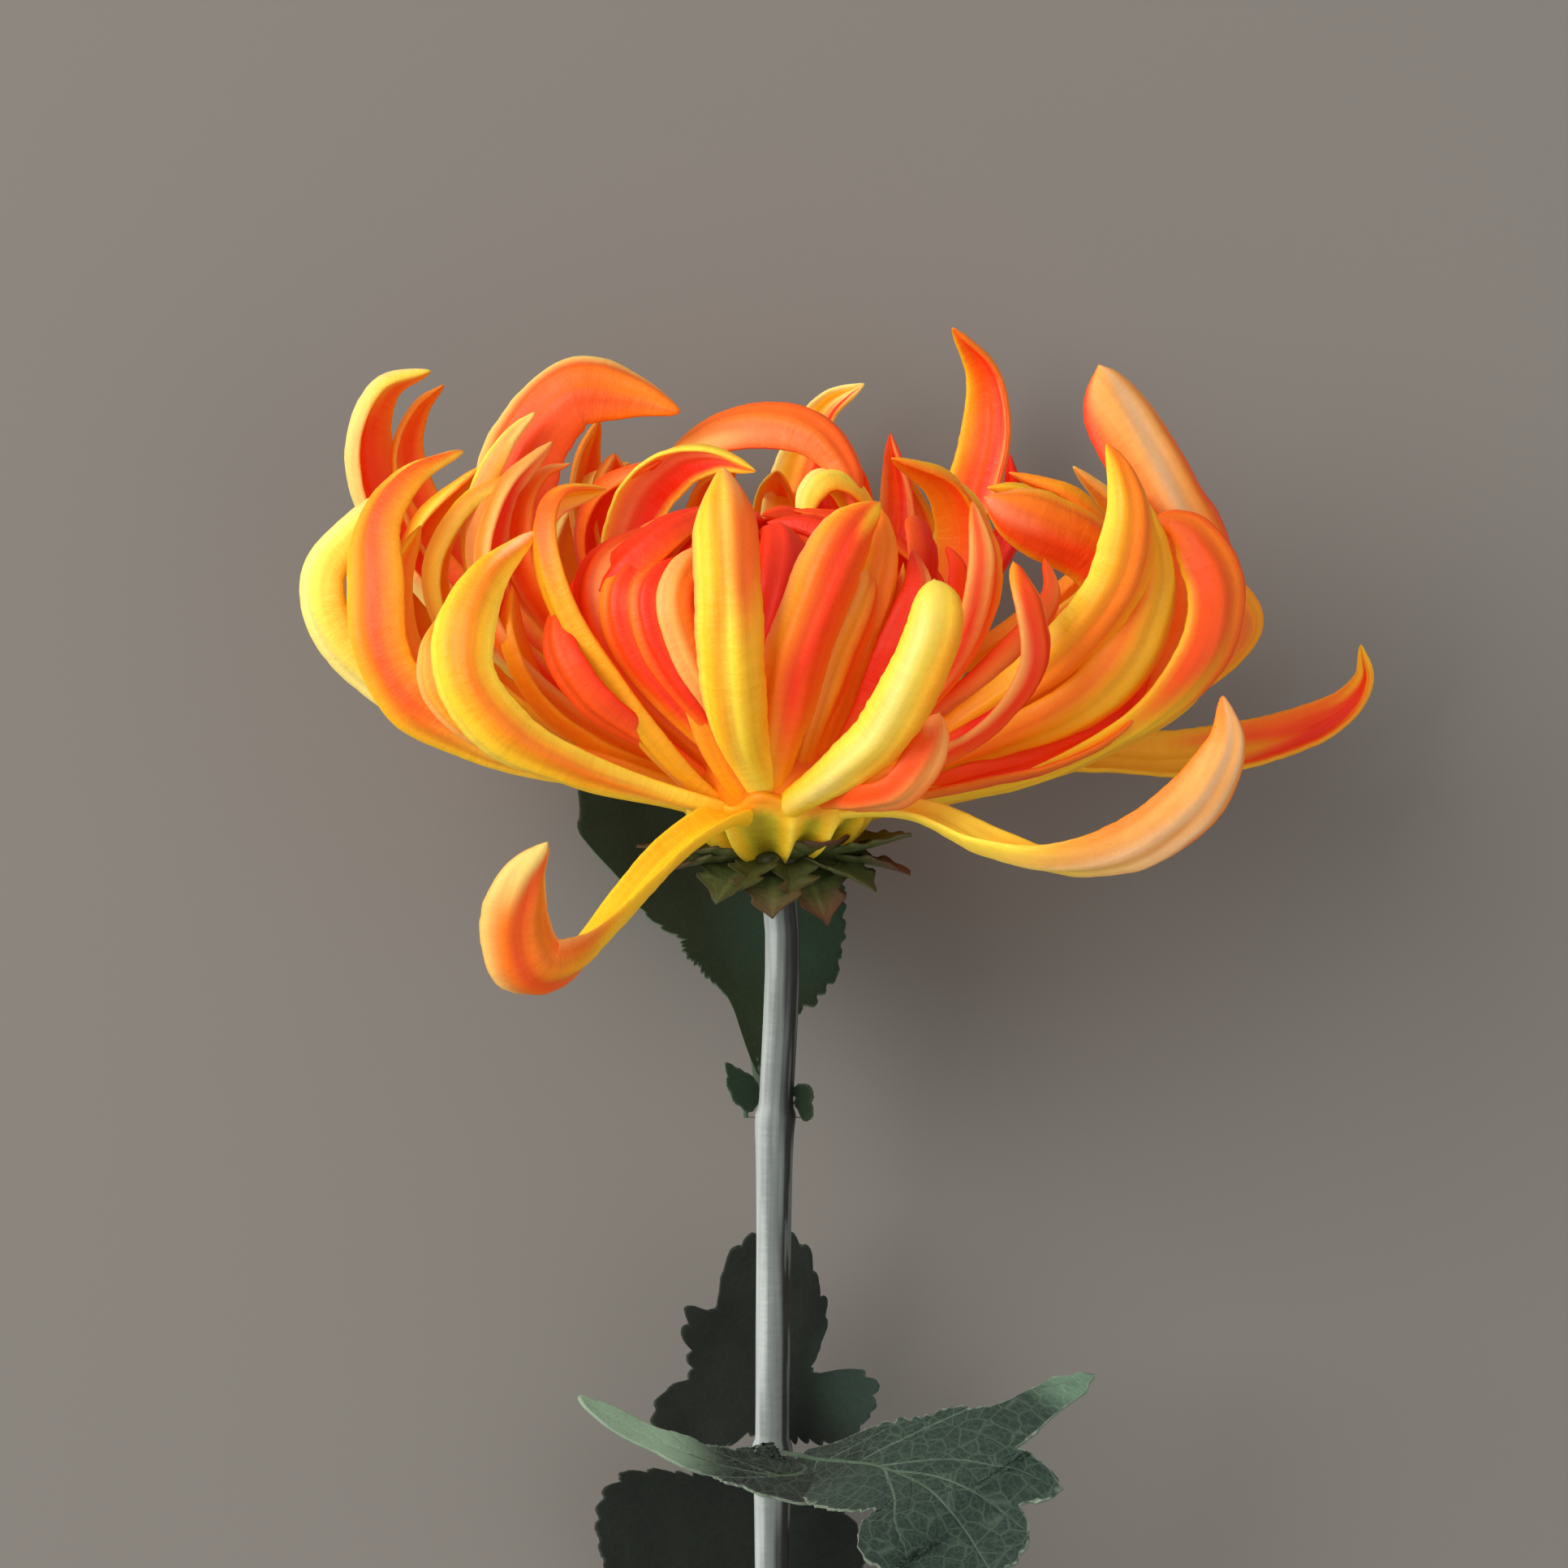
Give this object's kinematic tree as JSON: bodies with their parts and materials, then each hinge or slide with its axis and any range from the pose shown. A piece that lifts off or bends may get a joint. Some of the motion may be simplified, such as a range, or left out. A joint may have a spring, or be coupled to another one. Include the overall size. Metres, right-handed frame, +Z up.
{
  "type": "chrysanthemum",
  "caption": "Single incurved chrysanthemum with long channelled petals, green calyx, cut stem and lobed leaves, lying on a flat surface.",
  "frame": {"origin": "middle of the area that the flower covers, at the height of the surface it lies on", "axes": "+Z up from the surface, +Y along the flower's length from the cut end of the stem towards the bloom, +X to the right as seen from above"},
  "size_m": [0.1323, 0.2307, 0.0868],
  "materials": {
    "petal": null,
    "bract": "matt green with brown tips",
    "stem": "pale silvery green, satin",
    "leaf": "dark grey green with pale veins, paler underneath"
  },
  "bodies": {
    "root": {"bloom": "petal", "calyx": "bract", "stem": "stem", "leaf_high": "leaf", "leaf_scale_left": "leaf", "leaf_scale_right": "leaf", "leaf_back": "leaf", "leaf_front": "leaf", "leaf_low": "leaf"}
  },
  "joints": []
}
